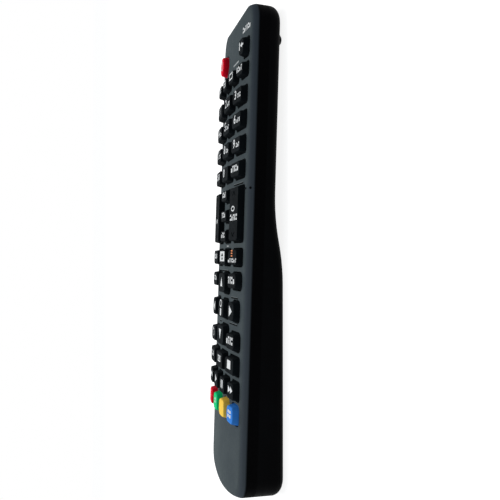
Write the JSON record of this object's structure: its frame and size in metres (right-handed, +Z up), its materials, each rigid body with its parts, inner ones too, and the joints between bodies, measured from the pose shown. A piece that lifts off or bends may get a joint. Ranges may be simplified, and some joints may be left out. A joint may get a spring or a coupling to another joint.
{
  "type": "tv remote control",
  "caption": "Long handheld infrared remote with a crowned key face, rubber-dome keys, two rocker keys, colour keys, a stepped back and a sliding battery door.",
  "frame": {"origin": "centre of the bounding box at the surface that the remote lies on", "axes": "+Y along the remote towards its infrared end, +Z up out of the key face, +X to the right"},
  "size_m": [0.046, 0.1882, 0.0203],
  "materials": {
    "case_top": "fine matte charcoal",
    "case_back": "fine texture, black",
    "window": "dark infrared-clear plastic",
    "key_black": "satin",
    "key_red": "satin",
    "key_green": "satin",
    "key_yellow": "satin",
    "key_blue": "satin",
    "key_white": "satin",
    "silicone": "matte silicone",
    "board": "green solder mask",
    "led": "clear resin",
    "battery": "plain sleeve, satin",
    "spring_steel": "plated wire",
    "contact": "plated sheet",
    "chip": "moulded package",
    "capacitor": "sleeved can",
    "resonator": "dipped ceramic"
  },
  "bodies": {
    "case": {"upper_case": "case_top", "lower_case": "case_back", "infrared_window": "window", "keypad_mat": "silicone", "circuit_board": "board", "infrared_led": "led", "battery_1": "battery", "battery_2": "battery", "battery_springs": "spring_steel", "battery_contact_plates": "contact", "controller_chip": "chip", "capacitor": "capacitor", "resonator": "resonator"},
    "key_power": {"key_power": "key_red"},
    "key_source": {"key_source": "key_black"},
    "key_subtitle": {"key_subtitle": "key_black"},
    "key_text": {"key_text": "key_black"},
    "key_picture": {"key_picture": "key_black"},
    "key_sleep": {"key_sleep": "key_black"},
    "key_1": {"key_1": "key_black"},
    "key_2": {"key_2": "key_black"},
    "key_3": {"key_3": "key_black"},
    "key_4": {"key_4": "key_black"},
    "key_5": {"key_5": "key_black"},
    "key_6": {"key_6": "key_black"},
    "key_7": {"key_7": "key_black"},
    "key_8": {"key_8": "key_black"},
    "key_9": {"key_9": "key_black"},
    "key_list": {"key_list": "key_black"},
    "key_0": {"key_0": "key_black"},
    "key_recall": {"key_recall": "key_black"},
    "rocker_volume": {"rocker_volume": "key_black"},
    "rocker_channel": {"rocker_channel": "key_black"},
    "key_mute": {"key_mute": "key_black"},
    "key_favourite": {"key_favourite": "key_black"},
    "key_guide": {"key_guide": "key_black"},
    "key_settings": {"key_settings": "key_black"},
    "key_home": {"key_home": "key_white"},
    "key_tools": {"key_tools": "key_black"},
    "key_menu": {"key_menu": "key_black"},
    "key_info": {"key_info": "key_black"},
    "key_up": {"key_up": "key_black"},
    "key_left": {"key_left": "key_black"},
    "key_ok": {"key_ok": "key_black"},
    "key_right": {"key_right": "key_black"},
    "key_down": {"key_down": "key_black"},
    "key_back": {"key_back": "key_black"},
    "key_exit": {"key_exit": "key_black"},
    "key_audio": {"key_audio": "key_black"},
    "key_aspect": {"key_aspect": "key_black"},
    "key_stop": {"key_stop": "key_black"},
    "key_rewind": {"key_rewind": "key_black"},
    "key_play": {"key_play": "key_black"},
    "key_pause": {"key_pause": "key_black"},
    "key_forward": {"key_forward": "key_black"},
    "key_red": {"key_red": "key_red"},
    "key_green": {"key_green": "key_green"},
    "key_yellow": {"key_yellow": "key_yellow"},
    "key_blue": {"key_blue": "key_blue"},
    "battery_door": {"battery_door": "case_back"}
  },
  "joints": [
    {"name": "key_power_press", "type": "slide", "parent": "case", "child": "key_power", "axis": [0, -0.0305, -0.9995], "range_m": [0, 0.0007], "stiffness_N_per_m": 1500},
    {"name": "key_source_press", "type": "slide", "parent": "case", "child": "key_source", "axis": [0, -0.0305, -0.9995], "range_m": [0, 0.0007], "stiffness_N_per_m": 1500},
    {"name": "key_subtitle_press", "type": "slide", "parent": "case", "child": "key_subtitle", "axis": [0, -0.0305, -0.9995], "range_m": [0, 0.0007], "stiffness_N_per_m": 1500},
    {"name": "key_text_press", "type": "slide", "parent": "case", "child": "key_text", "axis": [0, -0.0305, -0.9995], "range_m": [0, 0.0007], "stiffness_N_per_m": 1500},
    {"name": "key_picture_press", "type": "slide", "parent": "case", "child": "key_picture", "axis": [0, -0.0305, -0.9995], "range_m": [0, 0.0007], "stiffness_N_per_m": 1500},
    {"name": "key_sleep_press", "type": "slide", "parent": "case", "child": "key_sleep", "axis": [0, -0.0305, -0.9995], "range_m": [0, 0.0007], "stiffness_N_per_m": 1500},
    {"name": "key_1_press", "type": "slide", "parent": "case", "child": "key_1", "axis": [0, -0.0305, -0.9995], "range_m": [0, 0.0007], "stiffness_N_per_m": 1500},
    {"name": "key_2_press", "type": "slide", "parent": "case", "child": "key_2", "axis": [0, -0.0305, -0.9995], "range_m": [0, 0.0007], "stiffness_N_per_m": 1500},
    {"name": "key_3_press", "type": "slide", "parent": "case", "child": "key_3", "axis": [0, -0.0305, -0.9995], "range_m": [0, 0.0007], "stiffness_N_per_m": 1500},
    {"name": "key_4_press", "type": "slide", "parent": "case", "child": "key_4", "axis": [0, -0.0305, -0.9995], "range_m": [0, 0.0007], "stiffness_N_per_m": 1500},
    {"name": "key_5_press", "type": "slide", "parent": "case", "child": "key_5", "axis": [0, -0.0305, -0.9995], "range_m": [0, 0.0007], "stiffness_N_per_m": 1500},
    {"name": "key_6_press", "type": "slide", "parent": "case", "child": "key_6", "axis": [0, -0.0305, -0.9995], "range_m": [0, 0.0007], "stiffness_N_per_m": 1500},
    {"name": "key_7_press", "type": "slide", "parent": "case", "child": "key_7", "axis": [0, -0.0305, -0.9995], "range_m": [0, 0.0007], "stiffness_N_per_m": 1500},
    {"name": "key_8_press", "type": "slide", "parent": "case", "child": "key_8", "axis": [0, -0.0305, -0.9995], "range_m": [0, 0.0007], "stiffness_N_per_m": 1500},
    {"name": "key_9_press", "type": "slide", "parent": "case", "child": "key_9", "axis": [0, -0.0305, -0.9995], "range_m": [0, 0.0007], "stiffness_N_per_m": 1500},
    {"name": "key_list_press", "type": "slide", "parent": "case", "child": "key_list", "axis": [0, -0.0305, -0.9995], "range_m": [0, 0.0007], "stiffness_N_per_m": 1500},
    {"name": "key_0_press", "type": "slide", "parent": "case", "child": "key_0", "axis": [0, -0.0305, -0.9995], "range_m": [0, 0.0007], "stiffness_N_per_m": 1500},
    {"name": "key_recall_press", "type": "slide", "parent": "case", "child": "key_recall", "axis": [0, -0.0305, -0.9995], "range_m": [0, 0.0007], "stiffness_N_per_m": 1500},
    {"name": "rocker_volume_tilt", "type": "hinge", "parent": "case", "child": "rocker_volume", "pos_m": [-0.0135, 0.01324, 0.01271], "axis": [1, 0, 0], "range_deg": [-4, 4], "stiffness_Nm_per_rad": 0.12},
    {"name": "rocker_channel_tilt", "type": "hinge", "parent": "case", "child": "rocker_channel", "pos_m": [0.0135, 0.01324, 0.01271], "axis": [1, 0, 0], "range_deg": [-4, 4], "stiffness_Nm_per_rad": 0.12},
    {"name": "key_mute_press", "type": "slide", "parent": "case", "child": "key_mute", "axis": [0, -0.0305, -0.9995], "range_m": [0, 0.0007], "stiffness_N_per_m": 1500},
    {"name": "key_favourite_press", "type": "slide", "parent": "case", "child": "key_favourite", "axis": [0, -0.0305, -0.9995], "range_m": [0, 0.0007], "stiffness_N_per_m": 1500},
    {"name": "key_guide_press", "type": "slide", "parent": "case", "child": "key_guide", "axis": [0, -0.0305, -0.9995], "range_m": [0, 0.0007], "stiffness_N_per_m": 1500},
    {"name": "key_settings_press", "type": "slide", "parent": "case", "child": "key_settings", "axis": [0, -0.0305, -0.9995], "range_m": [0, 0.0007], "stiffness_N_per_m": 1500},
    {"name": "key_home_press", "type": "slide", "parent": "case", "child": "key_home", "axis": [0, -0.0305, -0.9995], "range_m": [0, 0.0007], "stiffness_N_per_m": 1500},
    {"name": "key_tools_press", "type": "slide", "parent": "case", "child": "key_tools", "axis": [0, -0.0305, -0.9995], "range_m": [0, 0.0007], "stiffness_N_per_m": 1500},
    {"name": "key_menu_press", "type": "slide", "parent": "case", "child": "key_menu", "axis": [0, -0.0305, -0.9995], "range_m": [0, 0.0007], "stiffness_N_per_m": 1500},
    {"name": "key_info_press", "type": "slide", "parent": "case", "child": "key_info", "axis": [0, -0.0305, -0.9995], "range_m": [0, 0.0007], "stiffness_N_per_m": 1500},
    {"name": "key_up_press", "type": "slide", "parent": "case", "child": "key_up", "axis": [0, -0.0305, -0.9995], "range_m": [0, 0.0007], "stiffness_N_per_m": 1500},
    {"name": "key_left_press", "type": "slide", "parent": "case", "child": "key_left", "axis": [0, -0.0305, -0.9995], "range_m": [0, 0.0007], "stiffness_N_per_m": 1500},
    {"name": "key_ok_press", "type": "slide", "parent": "case", "child": "key_ok", "axis": [0, -0.0305, -0.9995], "range_m": [0, 0.0007], "stiffness_N_per_m": 1500},
    {"name": "key_right_press", "type": "slide", "parent": "case", "child": "key_right", "axis": [0, -0.0305, -0.9995], "range_m": [0, 0.0007], "stiffness_N_per_m": 1500},
    {"name": "key_down_press", "type": "slide", "parent": "case", "child": "key_down", "axis": [0, -0.0305, -0.9995], "range_m": [0, 0.0007], "stiffness_N_per_m": 1500},
    {"name": "key_back_press", "type": "slide", "parent": "case", "child": "key_back", "axis": [0, -0.0305, -0.9995], "range_m": [0, 0.0007], "stiffness_N_per_m": 1500},
    {"name": "key_exit_press", "type": "slide", "parent": "case", "child": "key_exit", "axis": [0, -0.0305, -0.9995], "range_m": [0, 0.0007], "stiffness_N_per_m": 1500},
    {"name": "key_audio_press", "type": "slide", "parent": "case", "child": "key_audio", "axis": [0, -0.0305, -0.9995], "range_m": [0, 0.0007], "stiffness_N_per_m": 1500},
    {"name": "key_aspect_press", "type": "slide", "parent": "case", "child": "key_aspect", "axis": [0, -0.0305, -0.9995], "range_m": [0, 0.0007], "stiffness_N_per_m": 1500},
    {"name": "key_stop_press", "type": "slide", "parent": "case", "child": "key_stop", "axis": [0, -0.0305, -0.9995], "range_m": [0, 0.0007], "stiffness_N_per_m": 1500},
    {"name": "key_rewind_press", "type": "slide", "parent": "case", "child": "key_rewind", "axis": [0, -0.0305, -0.9995], "range_m": [0, 0.0007], "stiffness_N_per_m": 1500},
    {"name": "key_play_press", "type": "slide", "parent": "case", "child": "key_play", "axis": [0, -0.0305, -0.9995], "range_m": [0, 0.0007], "stiffness_N_per_m": 1500},
    {"name": "key_pause_press", "type": "slide", "parent": "case", "child": "key_pause", "axis": [0, -0.0305, -0.9995], "range_m": [0, 0.0007], "stiffness_N_per_m": 1500},
    {"name": "key_forward_press", "type": "slide", "parent": "case", "child": "key_forward", "axis": [0, -0.0305, -0.9995], "range_m": [0, 0.0007], "stiffness_N_per_m": 1500},
    {"name": "key_red_press", "type": "slide", "parent": "case", "child": "key_red", "axis": [0, -0.0305, -0.9995], "range_m": [0, 0.0007], "stiffness_N_per_m": 1500},
    {"name": "key_green_press", "type": "slide", "parent": "case", "child": "key_green", "axis": [0, -0.0305, -0.9995], "range_m": [0, 0.0007], "stiffness_N_per_m": 1500},
    {"name": "key_yellow_press", "type": "slide", "parent": "case", "child": "key_yellow", "axis": [0, -0.0305, -0.9995], "range_m": [0, 0.0007], "stiffness_N_per_m": 1500},
    {"name": "key_blue_press", "type": "slide", "parent": "case", "child": "key_blue", "axis": [0, -0.0305, -0.9995], "range_m": [0, 0.0007], "stiffness_N_per_m": 1500},
    {"name": "battery_door_slide", "type": "slide", "parent": "case", "child": "battery_door", "axis": [0, -1, 0], "range_m": [0, 0.076]}
  ]
}
